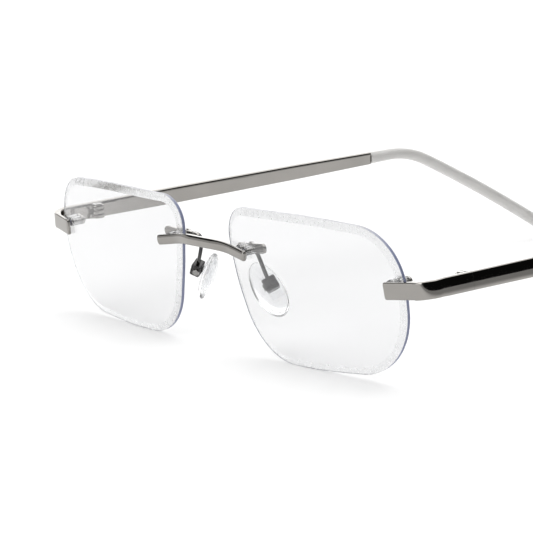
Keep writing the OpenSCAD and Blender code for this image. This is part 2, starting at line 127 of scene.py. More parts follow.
def lookup(x, table):
    """Straight-line value at x between (x, value) pairs."""
    if x <= table[0][0]:
        return table[0][1]
    for (x0, y0), (x1, y1) in zip(table, table[1:]):
        if x <= x1:
            return mix(y0, y1, (x - x0) / (x1 - x0))
    return table[-1][1]


def bezier(p, t):
    s = 1 - t
    return p[0] * s ** 3 + p[1] * 3 * t * s * s + p[2] * 3 * t * t * s + p[3] * t ** 3


def to_row(p, side):
    return Vector((side * p.x, p.y + SHIFT_Y, p.z)) * MM


def sag(u, v, radius=LENS_R):
    """How far a lens surface lies behind the front's apex."""
    return LENS_R - math.sqrt(radius * radius - u * u - v * v)


LENS_TURN = turn("Z", LENS_WRAP) @ turn("X", LENS_PAN)
LENS_AT = Vector((
    (LENS_GAP + LENS_W) / 2,
    0,
    LENS_HALF_H * math.cos(math.radians(LENS_PAN))
    - sag(0, LENS_HALF_H) * math.sin(math.radians(LENS_PAN)),
))


def lens_pos(u, v, radius=LENS_R):
    return LENS_AT + LENS_TURN @ Vector((u, sag(u, v, radius), v))


class Mount:
    """The frame of a mount on a lens: x along the foot, y into the lens, z up."""

    def __init__(self, u, v, roll):
        self.at = lens_pos(u, v)
        across = turn("Z", math.degrees(math.asin(u / LENS_R)))
        upright = turn("X", -math.degrees(math.asin(v / LENS_R)))
        self.turn = LENS_TURN @ across @ upright @ turn("Y", -roll)

    def dir(self, x, y, z):
        return self.turn @ Vector((x, y, z))

    def pos(self, x, y, z):
        return self.at + self.dir(x, y, z)


nose = Mount(*NOSE_MOUNT)
side_mount = Mount(*SIDE_MOUNT)


# ---------------------------------------------------------------- mesh building
def section(a, b, r, crown=0, steps=5):
    """A rounded rectangle of half thickness a and half height b, as (out, up) pairs.

    The faces that look along +out and -out are crowned over the half angle crown, in degrees.
    """
    k = math.radians(max(crown, 0.01))
    face_end = b - r * (1 - math.sin(k))
    face_r = face_end / math.sin(k)
    centre = (a - face_r * (1 - math.cos(k)) - r * math.cos(k), face_end - r * math.sin(k))
    quarter = []
    for i in range(1, steps + 1):
        w = k * i / steps
        quarter.append((a - face_r * (1 - math.cos(w)), face_r * math.sin(w)))
    for i in range(1, steps + 1):
        w = mix(k, math.pi / 2, i / steps)
        quarter.append((centre[0] + r * math.cos(w), centre[1] + r * math.sin(w)))
    half = quarter + [(-x, y) for x, y in reversed(quarter)]
    return [(a, 0)] + half + [(-a, 0)] + [(-x, -y) for x, y in half]


def ring(centre, out, up, shape, grow=1.0):
    return [centre + out * x * grow + up * y * grow for x, y in shape]


def round_ring(centre, out, up, a, b, count=28):
    angles = [2 * math.pi * i / count for i in range(count)]
    return [centre + out * a * math.cos(w) + up * b * math.sin(w) for w in angles]


def skin(rings):
    """Points and faces of a closed solid over rings that all have the same number of points."""
    n = len(rings[0])
    points = [p for r in rings for p in r]
    faces = []
    for j in range(len(rings) - 1):
        for i in range(n):
            k = (i + 1) % n
            faces.append((j * n + i, j * n + k, (j + 1) * n + k, (j + 1) * n + i))
    last = (len(rings) - 1) * n
    points += [sum(rings[0], Vector()) / n, sum(rings[-1], Vector()) / n]
    first_centre, last_centre = len(points) - 2, len(points) - 1
    for i in range(n):
        k = (i + 1) % n
        faces.append((first_centre, k, i))
        faces.append((last_centre, last + i, last + k))
    return points, faces


def outward(points, faces):
    """The faces in the order that makes the solid's volume positive."""
    volume = 0.0
    for f in faces:
        a = points[f[0]]
        for i in range(1, len(f) - 1):
            volume += a.dot(points[f[i]].cross(points[f[i + 1]]))
    return faces if volume > 0 else [tuple(reversed(f)) for f in faces]


def piece(name, points, faces, materials, body, replaced, sharp=50):
    """Puts a finished piece on its body in place of its CAD node. Points are in the row frame."""
    mesh = bpy.data.meshes.new(name)
    mesh.from_pydata(points, [], outward(points, faces))
    mesh.validate()
    mesh.shade_smooth()
    mesh.set_sharp_from_angle(angle=math.radians(sharp))
    for material in materials:
        mesh.materials.append(material)
    obj = bpy.data.objects.new(name, mesh)
    bpy.context.scene.collection.objects.link(obj)
    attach(obj, body)
    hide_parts(replaced)
    return obj


def swept(name, rings, side, material, body, replaced):
    points, faces = skin(rings)
    return piece(name, [to_row(p, side) for p in points], faces, [material], body, replaced)


# ---------------------------------------------------------------- materials
class Shader:
    """A Principled material with procedural detail in the piece's own coordinates."""

    def __init__(self, name, **values):
        self.material = bpy.data.materials.new(name)
        self.material.use_nodes = True
        self.tree = self.material.node_tree
        self.bsdf = self.tree.nodes["Principled BSDF"]
        for socket, value in values.items():
            self.bsdf.inputs[socket.replace("_", " ")].default_value = value
        self.place = self.node("ShaderNodeTexCoord").outputs["Object"]

    def node(self, kind, **settings):
        made = self.tree.nodes.new(kind)
        for key, value in settings.items():
            setattr(made, key, value)
        return made

    def link(self, output, socket):
        self.tree.links.new(output, socket)

    def stretched(self, scale):
        mapping = self.node("ShaderNodeMapping")
        mapping.inputs["Scale"].default_value = scale
        self.link(self.place, mapping.inputs["Vector"])
        return mapping.outputs["Vector"]

    def noise(self, scale, detail=4, stretch=(1, 1, 1)):
        made = self.node("ShaderNodeTexNoise")
        made.inputs["Scale"].default_value = scale
        made.inputs["Detail"].default_value = detail
        self.link(self.stretched(stretch), made.inputs["Vector"])
        return made.outputs["Fac"]

    def ranged(self, value, socket, low, high):
        """Drives a socket from low to high by a texture's value."""
        made = self.node("ShaderNodeMapRange")
        made.inputs["From Min"].default_value = 0.3
        made.inputs["From Max"].default_value = 0.7
        made.inputs["To Min"].default_value = low
        made.inputs["To Max"].default_value = high
        self.link(value, made.inputs["Value"])
        self.link(made.outputs["Result"], self.bsdf.inputs[socket])

    def colours(self, value, dark, light):
        ramp = self.node("ShaderNodeValToRGB")
        ramp.color_ramp.elements[0].position = 0.3
        ramp.color_ramp.elements[0].color = (*dark, 1)
        ramp.color_ramp.elements[1].position = 0.7
        ramp.color_ramp.elements[1].color = (*light, 1)
        self.link(value, ramp.inputs["Fac"])
        self.link(ramp.outputs["Color"], self.bsdf.inputs["Base Color"])

    def bump(self, value, strength, distance):
        made = self.node("ShaderNodeBump")
        made.inputs["Strength"].default_value = strength
        made.inputs["Distance"].default_value = distance
        self.link(value, made.inputs["Height"])
        self.link(made.outputs["Normal"], self.bsdf.inputs["Normal"])


def polished_metal():
    """Grey plating, with faint polishing lines along the temples and slight patches of wear."""
    s = Shader("polished_metal", Metallic=1.0)
    s.colours(s.noise(90, 5), (0.305, 0.294, 0.277), (0.340, 0.326, 0.307))
    s.ranged(s.noise(2600, 3, (1, 0.12, 1)), "Roughness", 0.03, 0.09)
    s.bump(s.noise(5200, 2, (1, 0.06, 1)), 0.03, 0.00001)
    return s.material


def arm_metal():
    """The pad arms' and boxes' metal: a darker copy of the frame's grey metal as painted shade, with
    fine drawing marks.
    """
    s = Shader("arm_metal", Metallic=1.0)
    # The dark base colours are painted shade on the wires and boxes.
    s.colours(s.noise(500, 4), (0.045, 0.045, 0.048), (0.10, 0.098, 0.096))
    s.ranged(s.noise(2400, 4), "Roughness", 0.10, 0.24)
    s.bump(s.noise(6000, 2), 0.1, 0.00001)
    return s.material


def turned_steel():
    """Brighter plated steel with fine turning marks, for nuts, screws and small hinge parts."""
    s = Shader("turned_steel", Metallic=1.0)
    s.colours(s.noise(700, 4), (0.40, 0.39, 0.375), (0.50, 0.49, 0.475))
    s.ranged(s.noise(4200, 4), "Roughness", 0.14, 0.28)
    s.bump(s.noise(9000, 2), 0.12, 0.00001)
    return s.material


def lens_glass():
    """Clear lens with a faint film of handling marks."""
    s = Shader("lens_glass", Base_Color=(0.83, 0.832, 0.838, 1), IOR=1.5, Transmission_Weight=1.0)
    s.ranged(s.noise(160, 6), "Roughness", 0.0, 0.018)
    s.bump(s.noise(60, 2), 0.02, 0.00002)
    return s.material


def lens_edge():
    """Ground edge: frosted pale grey, with a painted violet-blue coating reflection where it faces
    left.
    """
    s = Shader("lens_edge", IOR=1.5, Transmission_Weight=0.2)
    # Noise grain plus the edge's facing along X: towards +X the ramp lays on a painted violet-blue
    # coating reflection.
    split = s.node("ShaderNodeSeparateXYZ")
    s.link(s.node("ShaderNodeTexCoord").outputs["Normal"], split.inputs["Vector"])
    grain_and_painted_flash = s.node("ShaderNodeMath", operation="MULTIPLY_ADD")
    grain_and_painted_flash.inputs[1].default_value = 0.35
    s.link(s.noise(1900, 5), grain_and_painted_flash.inputs[0])
    s.link(split.outputs["X"], grain_and_painted_flash.inputs[2])
    ramp = s.node("ShaderNodeValToRGB")
    ramp.color_ramp.elements[0].position = 0.3
    ramp.color_ramp.elements[0].color = (0.60, 0.60, 0.63, 1)
    ramp.color_ramp.elements[1].position = 0.95
    ramp.color_ramp.elements[1].color = (0.235, 0.260, 0.400, 1)
    s.link(grain_and_painted_flash.outputs["Value"], ramp.inputs["Fac"])
    s.link(ramp.outputs["Color"], s.bsdf.inputs["Base Color"])
    s.ranged(s.noise(3000, 4), "Roughness", 0.38, 0.62)
    s.bump(s.noise(7000, 3), 0.35, 0.00002)
    return s.material


def lens_bevel():
    """Ground bevel round the lens front: clear, with a fine matt grain."""
    s = Shader("lens_bevel", IOR=1.5, Transmission_Weight=1.0)
    s.colours(s.noise(2400, 6), (0.68, 0.682, 0.69), (0.80, 0.802, 0.81))
    s.ranged(s.noise(1400, 4), "Roughness", 0.12, 0.34)
    s.bump(s.noise(6000, 3), 0.12, 0.00002)
    return s.material


def clear_plastic(name, ior):
    """Clear moulded plastic of the bushes and the pad inserts."""
    s = Shader(name, Base_Color=(0.95, 0.955, 0.96, 1), IOR=ior, Transmission_Weight=0.97)
    s.ranged(s.noise(1500, 3), "Roughness", 0.06, 0.2)
    s.bump(s.noise(2400, 2), 0.08, 0.00002)
    return s.material


def clear_silicone():
    """Soft clear silicone, faintly cloudy, with a fine moulded grain."""
    tint = (0.955, 0.96, 0.965, 1)
    s = Shader("clear_silicone", Base_Color=tint, IOR=1.41, Transmission_Weight=0.97)
    s.ranged(s.noise(700, 5), "Roughness", 0.08, 0.22)
    s.bump(s.noise(3800, 4), 0.1, 0.00003)
    return s.material


def satin_acetate():
    """Grey tip sleeve: satin, with soft streaks along its length."""
    s = Shader("satin_acetate", IOR=1.5, Coat_Weight=0.25, Coat_Roughness=0.2)
    s.colours(s.noise(420, 5, (1, 0.15, 1)), (0.52, 0.51, 0.495), (0.62, 0.61, 0.595))
    s.ranged(s.noise(1800, 4, (1, 0.3, 1)), "Roughness", 0.28, 0.45)
    s.bump(s.noise(5200, 3, (1, 0.25, 1)), 0.15, 0.00002)
    return s.material


METAL = polished_metal()
STEEL = turned_steel()
ARM_METAL = arm_metal()
GLASS = lens_glass()
EDGE = lens_edge()
BEVEL = lens_bevel()
PLASTIC = clear_plastic("clear_plastic", 1.46)
INSERT = clear_plastic("pad_core_plastic", 1.01)   # nearly lost to sight inside the silicone
SILICONE = clear_silicone()
ACETATE = satin_acetate()


# ---------------------------------------------------------------- lenses
def corner_arc(before, here, after, radius):
    """Points round a corner, a few degrees apart."""
    p = Vector(here)
    da = (Vector(before) - p).normalized()
    db = (Vector(after) - p).normalized()
    half = math.acos(max(-1, min(1, da.dot(db)))) / 2
    centre = p + (da + db).normalized() * radius / math.sin(half)
    start = p + da * radius / math.tan(half) - centre
    sweep = math.pi - 2 * half
    steps = max(3, round(math.degrees(sweep) / 3))
    return [centre + Matrix.Rotation(sweep * i / steps, 2) @ start for i in range(steps + 1)]


def lens_outline(count):
    """The outline as evenly spaced points."""
    n = len(LENS_CORNERS)
    path = []
    for i in range(n):
        before, here, after = (LENS_CORNERS[j % n] for j in (i + n - 1, i, i + 1))
        path += corner_arc(before[:2], here[:2], after[:2], here[2])
    path.append(path[0])
    lengths = [0.0]
    for a, b in zip(path, path[1:]):
        lengths.append(lengths[-1] + (b - a).length)
    even, j = [], 0
    for i in range(count):
        at = lengths[-1] * i / count
        while lengths[j + 1] < at:
            j += 1
        step = lengths[j + 1] - lengths[j]
        even.append(path[j].lerp(path[j + 1], (at - lengths[j]) / step if step else 0))
    return even


def inset(outline, width):
    """The outline moved inwards by an even width."""
    n = len(outline)
    moved = []
    for i, p in enumerate(outline):
        along = (outline[(i + 1) % n] - outline[i - 1]).normalized()
        moved.append(p + Vector((-along.y, along.x)) * width)
    return moved


def lens_solid():
    """A lens: two spherical faces, a wide ground bevel round the front and an upright ground edge."""
    outline = lens_outline(OUTLINE_POINTS)
    clear = inset(outline, BEVEL_W)
    shrink = [(i + 1) / LENS_ROWS for i in range(LENS_ROWS)]
    inner_r = LENS_R - LENS_T
    back_clear = inset(outline, BACK_BEVEL)
    front = [[lens_pos(p.x * k, p.y * k) for p in clear] for k in shrink]
    back = [[lens_pos(p.x * k, p.y * k, inner_r) for p in back_clear] for k in reversed(shrink)]
    into = LENS_TURN @ Vector((0, 1, 0))
    edge = [
        [lens_pos(p.x, p.y) + into * BEVEL_DEPTH for p in outline],
        [lens_pos(p.x, p.y, inner_r) - into * BACK_BEVEL for p in outline],
    ]
    return skin(front + edge + back)


def cutter(mount, lift, x, side):
    """A short rod through a lens, where a bush goes."""
    past = 2
    across, up = mount.dir(1, 0, 0), mount.dir(0, 0, 1)
    ends = [mount.pos(x, y, lift) for y in (-past, LENS_T + past)]
    points, faces = skin([round_ring(end, across, up, HOLE_R, HOLE_R, 40) for end in ends])
    return [to_row(p, side) for p in points], faces


def drill(obj, side):
    """Cuts the four bush holes of a lens."""
    points, faces = [], []
    for mount, lift in ((nose, NOSE_LIFT), (side_mount, SIDE_LIFT)):
        for x in (-STUD_GAP / 2, STUD_GAP / 2):
            rod_points, rod_faces = cutter(mount, lift, x, side)
            first = len(points)
            points += rod_points
            faces += [tuple(first + i for i in f) for f in outward(rod_points, rod_faces)]
    mesh = bpy.data.meshes.new("drill")
    mesh.from_pydata(points, [], faces)
    tool = bpy.data.objects.new("drill", mesh)
    bpy.context.scene.collection.objects.link(tool)
    cut = obj.modifiers.new("holes", "BOOLEAN")
    cut.object = tool
    cut.solver = "EXACT"
    bpy.context.view_layer.update()
    evaluated = obj.evaluated_get(bpy.context.evaluated_depsgraph_get())
    result = bpy.data.meshes.new_from_object(evaluated)
    obj.modifiers.remove(cut)
    obj.data = result
    bpy.data.objects.remove(tool)


FACE_SLOT, EDGE_SLOT, BEVEL_SLOT = range(3)


def finish_lens(obj, side):
    """Gives edge and bevel their own materials, and the two faces their true spherical shading."""
    centre = to_row(LENS_AT + LENS_TURN @ Vector((0, LENS_R, 0)), side)
    mesh = obj.data
    facing = {LENS_R * MM: 1, (LENS_R - LENS_T) * MM: -1}
    near = 0.02 * MM
    mesh.shade_smooth()
    mesh.set_sharp_from_angle(angle=math.radians(30))
    normals = [Vector(n.vector) for n in mesh.corner_normals]
    for face in mesh.polygons:
        corners = [mesh.vertices[i].co - centre for i in face.vertices]
        on = [s for r, s in facing.items() if all(abs(c.length - r) < near for c in corners)]
        upright = abs(face.normal.dot(corners[0].normalized())) < 0.9
        face.material_index = EDGE_SLOT if upright else FACE_SLOT if on else BEVEL_SLOT
        for loop, corner in zip(face.loop_indices, corners):
            if face.material_index == FACE_SLOT:
                normals[loop] = corner.normalized() * on[0]
            elif face.material_index == BEVEL_SLOT:
                normals[loop] = face.normal.copy()
    mesh.normals_split_custom_set(normals)


def make_lenses():
    """Both lenses, with their holes, materials and shading."""
    points, faces = lens_solid()
    surfaces = [GLASS, EDGE, BEVEL]     # in the order of the slots above
    for word, side in SIDES.items():
        row_points = [to_row(p, side) for p in points]
        name, node = f"clear_lens_{word}", f"lens_{word}"
        obj = piece(name, row_points, faces, surfaces, "front", node)
        drill(obj, side)
        finish_lens(obj, side)


# ---------------------------------------------------------------- bridge
def make_bridge():
    """One bar: a foot on each lens and the arch between them."""
    y = -SEAT_GAP - FOOT_T / 2
    foot_inner = nose.pos(-FOOT_IN, y, 0)
    curve = [
        foot_inner,
        foot_inner + nose.dir(-BRIDGE_EASE, 0, 0),
        Vector((BRIDGE_FLAT + BRIDGE_EASE, BRIDGE_Y, BRIDGE_Z)),
        Vector((BRIDGE_FLAT, BRIDGE_Y, BRIDGE_Z)),
    ]
    end_len, end_grow, foot_steps, steps = 0.4, 0.55, 8, 22

    def foot(x, grow=1.0):
        shape = section(FOOT_T / 2, BRIDGE_H / 2, BRIDGE_EDGE, BRIDGE_CROWN)
        return ring(nose.pos(x, y, 0), nose.dir(0, -1, 0), nose.dir(0, 0, 1), shape, grow)

    half = []
    for w in (75, 50, 25):
        sin_w, cos_w = sin_cos(w)
        half.append(foot(FOOT_OUT + end_len * sin_w, mix(end_grow, 1, cos_w)))
    half += [foot(mix(FOOT_OUT, -FOOT_IN, i / foot_steps)) for i in range(foot_steps)]
    for i in range(steps + 1):
        t = smooth(i / steps)
        shape = section(mix(FOOT_T, BRIDGE_T, t) / 2, BRIDGE_H / 2, BRIDGE_EDGE, BRIDGE_CROWN)
        out = mix(nose.dir(0, -1, 0), Vector((0, -1, 0)), t).normalized()
        up = mix(nose.dir(0, 0, 1), Vector((0, 0, 1)), t).normalized()
        half.append(ring(bezier(curve, i / steps), out, up, shape))
    other = [[Vector((-p.x, p.y, p.z)) for p in r] for r in reversed(half)]
    swept("bridge_bar", half + other, 1, METAL, "front", "bridge")


# ---------------------------------------------------------------- temples
BEND_TURN = SLOPE + DROOP
BEND_LEN = BEND_R * math.radians(BEND_TURN)
BEND_END = BEND_START + BEND_LEN


def temple_pitch(s):
    if s < BEND_START:
        return SLOPE
    if s < BEND_END:
        return SLOPE - BEND_TURN * (s - BEND_START) / BEND_LEN
    return -DROOP - math.degrees((s - BEND_END) / TIP_R)


def temple_yz(s):
    """Distance back and height along a temple, from the hinge pin."""
    sin_slope, cos_slope = sin_cos(SLOPE)
    sin_here, cos_here = sin_cos(temple_pitch(s))
    if s < BEND_START:
        return s * cos_slope, HINGE_Z + s * sin_slope
    y, z = BEND_START * cos_slope, HINGE_Z + BEND_START * sin_slope
    if s < BEND_END:
        return y + BEND_R * (sin_slope - sin_here), z + BEND_R * (cos_here - cos_slope)
    sin_droop, cos_droop = sin_cos(DROOP)
    y += BEND_R * (sin_slope + sin_droop)
    z += BEND_R * (cos_droop - cos_slope)
    return y + TIP_R * (-sin_droop - sin_here), z + TIP_R * (cos_here - cos_droop)


def temple_in(s):
    """How far the temple has turned inwards."""
    lean = math.sin(math.radians(TIP_LEAN))
    if s < BEND_START:
        return 0
    if s < BEND_END:
        return (s - BEND_START) ** 2 / (2 * BEND_LEN) * lean
    return (BEND_LEN / 2 + s - BEND_END) * lean


def temple_frame(s, lean=0):
    """Centre, outward direction and up direction of the temple at s."""
    y, z = temple_yz(s)
    sin_pitch, cos_pitch = sin_cos(temple_pitch(s))
    sin_lean, cos_lean = sin_cos(lean)
    up = Vector((0, -sin_pitch, cos_pitch))
    out = Vector((1, 0, 0))
    centre = Vector((BAR_X - temple_in(s), HINGE_Y + y, z))
    return centre, out * cos_lean + up * sin_lean, up * cos_lean - out * sin_lean


def temple_length():
    """The tip's rounded end just touches the surface that the pair stands on."""
    curl = 6
    sin_end, cos_end = sin_cos(DROOP + curl)
    drop = TIP_NOSE * sin_end
    low = math.hypot(drop, TIP_END_HALF_H * cos_end) - drop
    height = temple_yz(BEND_END)[1] - low
    end_pitch = math.degrees(math.acos(sin_cos(DROOP)[1] - height / TIP_R))
    return BEND_END + TIP_R * math.radians(end_pitch - DROOP)


TIP_SHORT, TIP_CLEAR = 0.05, 0.02       # keep the tip just inside its CAD solid
TEMPLE_LEN = temple_length() - TIP_SHORT
BAR_HEIGHTS = [(0, BAR_H), (22, 3.8), (55, 3.5), (SLEEVE_START, 2.9)]
BAR_THICKS = [(0, BAR_T), (30, BAR_T), (SLEEVE_START, 1.5)]
BAR_EDGE = 0.36
TIP_HALF_T = [(SLEEVE_START, 1.13), (BEND_START, 1.38), (TEMPLE_LEN, 1.48)]
TIP_HALF_H = [(SLEEVE_START, 1.38), (BEND_START, 1.28), (TEMPLE_LEN, TIP_END_HALF_H - TIP_CLEAR)]
TIP_ROUND, TIP_CROWN = 0.95, 14         # edge radius as a share of the smaller half, crown in degrees


def bar_shape(s):
    return section(lookup(s, BAR_THICKS) / 2, lookup(s, BAR_HEIGHTS) / 2, BAR_EDGE, BAR_CROWN)


def bar_ring(s, shape, grow=1.0):
    centre, out, up = temple_frame(s, BAR_LEAN)
    return ring(centre, out, up, shape, grow)


def temple_bar(word, side):
    """The flat bar. At the hinge its end all but meets the endpiece, so that only a hairline shows."""
    end_rings = ((-0.03, 0.99), (-0.01, 1.0), (0.05, 1.0))
    rings = [bar_ring(HINGE_GAP + d, bar_shape(0), grow) for d, grow in end_rings]
    start, steps = 0.2, 46
    for i in range(1, steps + 1):
        s = mix(start, SLEEVE_START - HINGE_GAP, i / steps)
        rings.append(bar_ring(s, bar_shape(s)))
    name, body = f"temple_blade_{word}", f"temple_{word}"
    swept(name, rings, side, METAL, body, f"temple_bar_{word}")


def tip_ring(s, grow=1.0):
    centre, out, up = temple_frame(s)
    half_t, half_h = lookup(s, TIP_HALF_T), lookup(s, TIP_HALF_H)
    shape = section(half_t, half_h, TIP_ROUND * min(half_t, half_h), TIP_CROWN)
    return ring(centre, out, up, shape, grow)


def temple_tip(word, side):
    """The sleeve: a soft lip over the bar, the bend, and a rounded end."""
    lip, lip_round = 0.25, 0.16
    rings = []
    for w in (15, 40, 65, 90):
        sin_w, cos_w = sin_cos(w)
        rings.append(tip_ring(SLEEVE_START + lip * (1 - sin_w), 1 - lip_round * cos_w))
    steps = 60
    for i in range(1, steps + 1):
        rings.append(tip_ring(mix(SLEEVE_START + lip, TEMPLE_LEN - TIP_NOSE, i / steps)))
    for w in range(10, 90, 10):
        sin_w, cos_w = sin_cos(w)
        rings.append(tip_ring(TEMPLE_LEN - TIP_NOSE * (1 - sin_w), cos_w))
    name, body = f"tip_sleeve_{word}", f"temple_{word}"
    swept(name, rings, side, ACETATE, body, f"temple_tip_{word}")


# ---------------------------------------------------------------- endpieces
PLATE_AT = side_mount.pos(-PLATE_IN, -SEAT_GAP - PLATE_T, 0)
PLATE_RUN = side_mount.dir(1, 0, 0)
PLATE_ANGLE = math.degrees(math.atan2(PLATE_RUN.y, PLATE_RUN.x))
PLATE_RISE = PLATE_RUN.z / math.hypot(PLATE_RUN.x, PLATE_RUN.y)
CORNER_TURN = 90 - PLATE_ANGLE
CORNER_CUT = CORNER_R * math.tan(math.radians(CORNER_TURN / 2))
CORNER_Y = PLATE_AT.y + (OUTER_X - PLATE_AT.x) * math.tan(math.radians(PLATE_ANGLE)) + CORNER_CUT
PLATE_LEN = (OUTER_X - PLATE_AT.x) / math.cos(math.radians(PLATE_ANGLE)) - CORNER_CUT
PLATE_END_Z = PLATE_AT.z + PLATE_RISE * PLATE_LEN
SIDE_START_Z = HINGE_Z - (HINGE_Y - HINGE_GAP - CORNER_Y) * math.tan(math.radians(SLOPE))
PLATE_EDGE, PLATE_CROWN = 0.22, 1
PLATE_SWELL = 0.6               # share of the growth to the temple's thickness that the plate takes
CORNER_H = BAR_H - 0.1
CORNER_LEAN_RATE = 1.7          # the lean inwards is complete before the corner is


def end_thick(t):
    return mix(PLATE_T, BAR_T, smooth(t))


def plate_ring(d, thick, grow=1.0):
    out = side_mount.dir(0, -1, 0)
    centre = PLATE_AT + PLATE_RUN * d - out * thick / 2
    shape = section(thick / 2, PLATE_H / 2, PLATE_EDGE, PLATE_CROWN)
    return ring(centre, out, side_mount.dir(0, 0, 1), shape, grow)


def corner_ring(t):
    angle = math.radians(PLATE_ANGLE + CORNER_TURN * t - 90)
    out = Vector((math.cos(angle), math.sin(angle), 0))
    thick = end_thick(mix(PLATE_SWELL, 1, t))
    centre = out * (CORNER_R - thick / 2) + Vector((OUTER_X - CORNER_R, CORNER_Y, 0))
    centre.z = mix(PLATE_END_Z, SIDE_START_Z, t)
    up = mix(side_mount.dir(0, 0, 1), temple_frame(0)[2], t).normalized()
    out = up.cross(out.cross(up)).normalized()
    turned = smooth(min(1, CORNER_LEAN_RATE * t))
    sin_lean, cos_lean = sin_cos(BAR_LEAN * turned)
    half_h = mix(PLATE_H, CORNER_H, t) / 2
    crown = mix(PLATE_CROWN, BAR_CROWN, turned)
    shape = section(thick / 2, half_h, mix(PLATE_EDGE, BAR_EDGE, t), crown)
    return ring(centre, out * cos_lean + up * sin_lean, up * cos_lean - out * sin_lean, shape)


def side_ring(y, grow=1.0):
    up = temple_frame(0)[2]
    sin_lean, cos_lean = sin_cos(BAR_LEAN)
    out = Vector((1, 0, 0))
    centre = Vector((BAR_X, y, HINGE_Z - (HINGE_Y - y) * math.tan(math.radians(SLOPE))))
    shape = section(BAR_T / 2, BAR_H / 2, BAR_EDGE, BAR_CROWN)
    return ring(centre, out * cos_lean + up * sin_lean, up * cos_lean - out * sin_lean, shape, grow)


def endpiece(word, side):
    """Plate on the lens, swelling past the lens edge, then the corner and the side to the hinge."""
    past_lens = 0.6
    on_lens = LENS_W / 2 - SIDE_MOUNT[0] + PLATE_IN + past_lens
    plate_end = ((0, 0.72), (0.06, 0.86), (0.18, 0.96), (0.34, 1))
    rings = [plate_ring(d, PLATE_T, grow) for d, grow in plate_end]
    flat, swell, corner, run = 8, 12, 24, 8
    rings += [plate_ring(mix(0.5, on_lens, i / flat), PLATE_T) for i in range(1, flat + 1)]
    for i in range(1, swell):
        t = i / swell
        rings.append(plate_ring(mix(on_lens, PLATE_LEN, t), end_thick(PLATE_SWELL * t)))
    rings += [corner_ring(i / corner) for i in range(corner + 1)]
    last = HINGE_Y - HINGE_GAP
    rings += [side_ring(mix(CORNER_Y, last - 0.2, i / run)) for i in range(1, run + 1)]
    rings += [side_ring(last), side_ring(last + 0.01), side_ring(last + 0.03, 0.99)]
    swept(f"end_bar_{word}", rings, side, METAL, "front", f"endpiece_{word}")


# ---------------------------------------------------------------- nose pads
PAD_TURN = turn("X", PAD_LEAN) @ turn("Y", -PAD_TILT) @ turn("Z", -PAD_SPLAY)
WIRE_IN_BOX = 0.3               # how far the wire runs into the box
PAD_FULLNESS, PAD_EGG = 0.78, 0.08


def pad_arm(word, side):
    """The bent wire, from the rear plate to the top of the pad's box."""
    start = nose.pos(ARM_FROM, REAR_Y + REAR_T / 2, NOSE_LIFT)
    box_top = Vector((BOX_OFF + BOX_FRONT + BOX_DEPTH / 2, 0, BOX_H / 2 - WIRE_IN_BOX))
    finish = PAD_POS + PAD_TURN @ box_top
    curve = [start, start + ARM_LEAD, finish + ARM_DROP, finish]
    steps = 36
    line = [bezier(curve, i / steps) for i in range(steps + 1)]
    rings = []
    for i, p in enumerate(line):
        along = (line[min(steps, i + 1)] - line[max(0, i - 1)]).normalized()
        across = along.cross(Vector((1, 0, 0))).normalized()
        rings.append(round_ring(p, across, across.cross(along), WIRE_R, WIRE_R, 20))
    swept(f"pad_wire_{word}", rings, side, ARM_METAL, "front", f"pad_arm_{word}")


def nose_pad(word, side):
    """A clear cushion: a flat egg shape, crowned on both faces, with a soft rounded rim."""
    rings = []
    steps, count = 26, 72
    for j in range(1, steps):
        w = math.pi * j / steps
        depth = -math.cos(w) * PAD_T / 2
        wide = math.sin(w) ** PAD_FULLNESS
        points = []
        for i in range(count):
            a = 2 * math.pi * i / count
            egg = 1 + PAD_EGG * math.sin(a)
            across = PAD_W / 2 * wide * math.cos(a) / egg - PAD_SIDE
            along = PAD_LEN / 2 * wide * math.sin(a)
            points.append(PAD_POS + PAD_TURN @ Vector((depth, across, along)))
        rings.append(points)
    name, body = f"pad_cushion_{word}", f"pad_{word}"
    swept(name, rings, side, SILICONE, body, f"nose_pad_{word}")


# ---------------------------------------------------------------- carried-over CAD pieces
def dress(node, material, soft_width=0.05):
    """Gives a CAD node its material and softens its edges."""
    obj = frame["nodes"][node]
    obj.data.materials.clear()
    obj.data.materials.append(material)
    weld = obj.modifiers.new("weld", "WELD")
    weld.merge_threshold = 0.002 * MM
    soft = obj.modifiers.new("soft_edges", "BEVEL")
    soft.width = soft_width * MM
    soft.segments = 2
    soft.limit_method = "ANGLE"
    soft.angle_limit = math.radians(35)
    soft.harden_normals = True


def dress_cad_nodes():
    for node in ("lens_studs", "lens_nuts"):
        dress(node, STEEL)
    dress("lens_bushes", PLASTIC)
    for word in SIDES:
        for part in ("bridge_rear_plate", "hinge_front", "hinge_rear"):
            dress(f"{part}_{word}", METAL)
        dress(f"pad_box_{word}", ARM_METAL, 0.3)
        for part in ("pad_screw", "hinge_screw"):
            dress(f"{part}_{word}", STEEL)
        dress(f"pad_insert_{word}", INSERT)


# ---------------------------------------------------------------- stage, light and camera
FLOOR_HALF = 6                  # metres
FLOOR_GREY, FLOOR_GLOW = 0.72, 0.29
# The floor's painted shade by the black flag, and where it starts, in metres along a direction
FLAG_GREY, FLAG_GLOW = 0.28, 0.1
FLAG_DIR, FLAG_START, FLAG_END = (1, 0.1, 0), 0.08, 0.2

WALL_LIGHT, TOP_LIGHT, BACK_LIGHT, KEY_LIGHT, DARK = 0.85, 2.5, 2.6, 4.0, 0.01
BACKDROP_LIGHT = 1.3            # what the camera itself sees past the floor
# Direction, cosine at the soft outer rim, cosine where the light is full, strength
LIGHTS = [
    ((0, 0, 1), 0.62, 0.8, TOP_LIGHT),
    ((-0.80, 0.57, 0.16), 0.84, 0.92, BACK_LIGHT),
    ((0.80, -0.56, 0.24), 0.84, 0.93, DARK),
    ((1, 0, 0.15), 0.84, 0.90, DARK),
    ((0.80, 0.55, 0.22), 0.74, 0.84, DARK),
    ((-0.62, -0.42, 0.60), 0.86, 0.93, DARK),
    ((0.2, -0.95, 0.25), 0.93, 0.965, KEY_LIGHT),
]

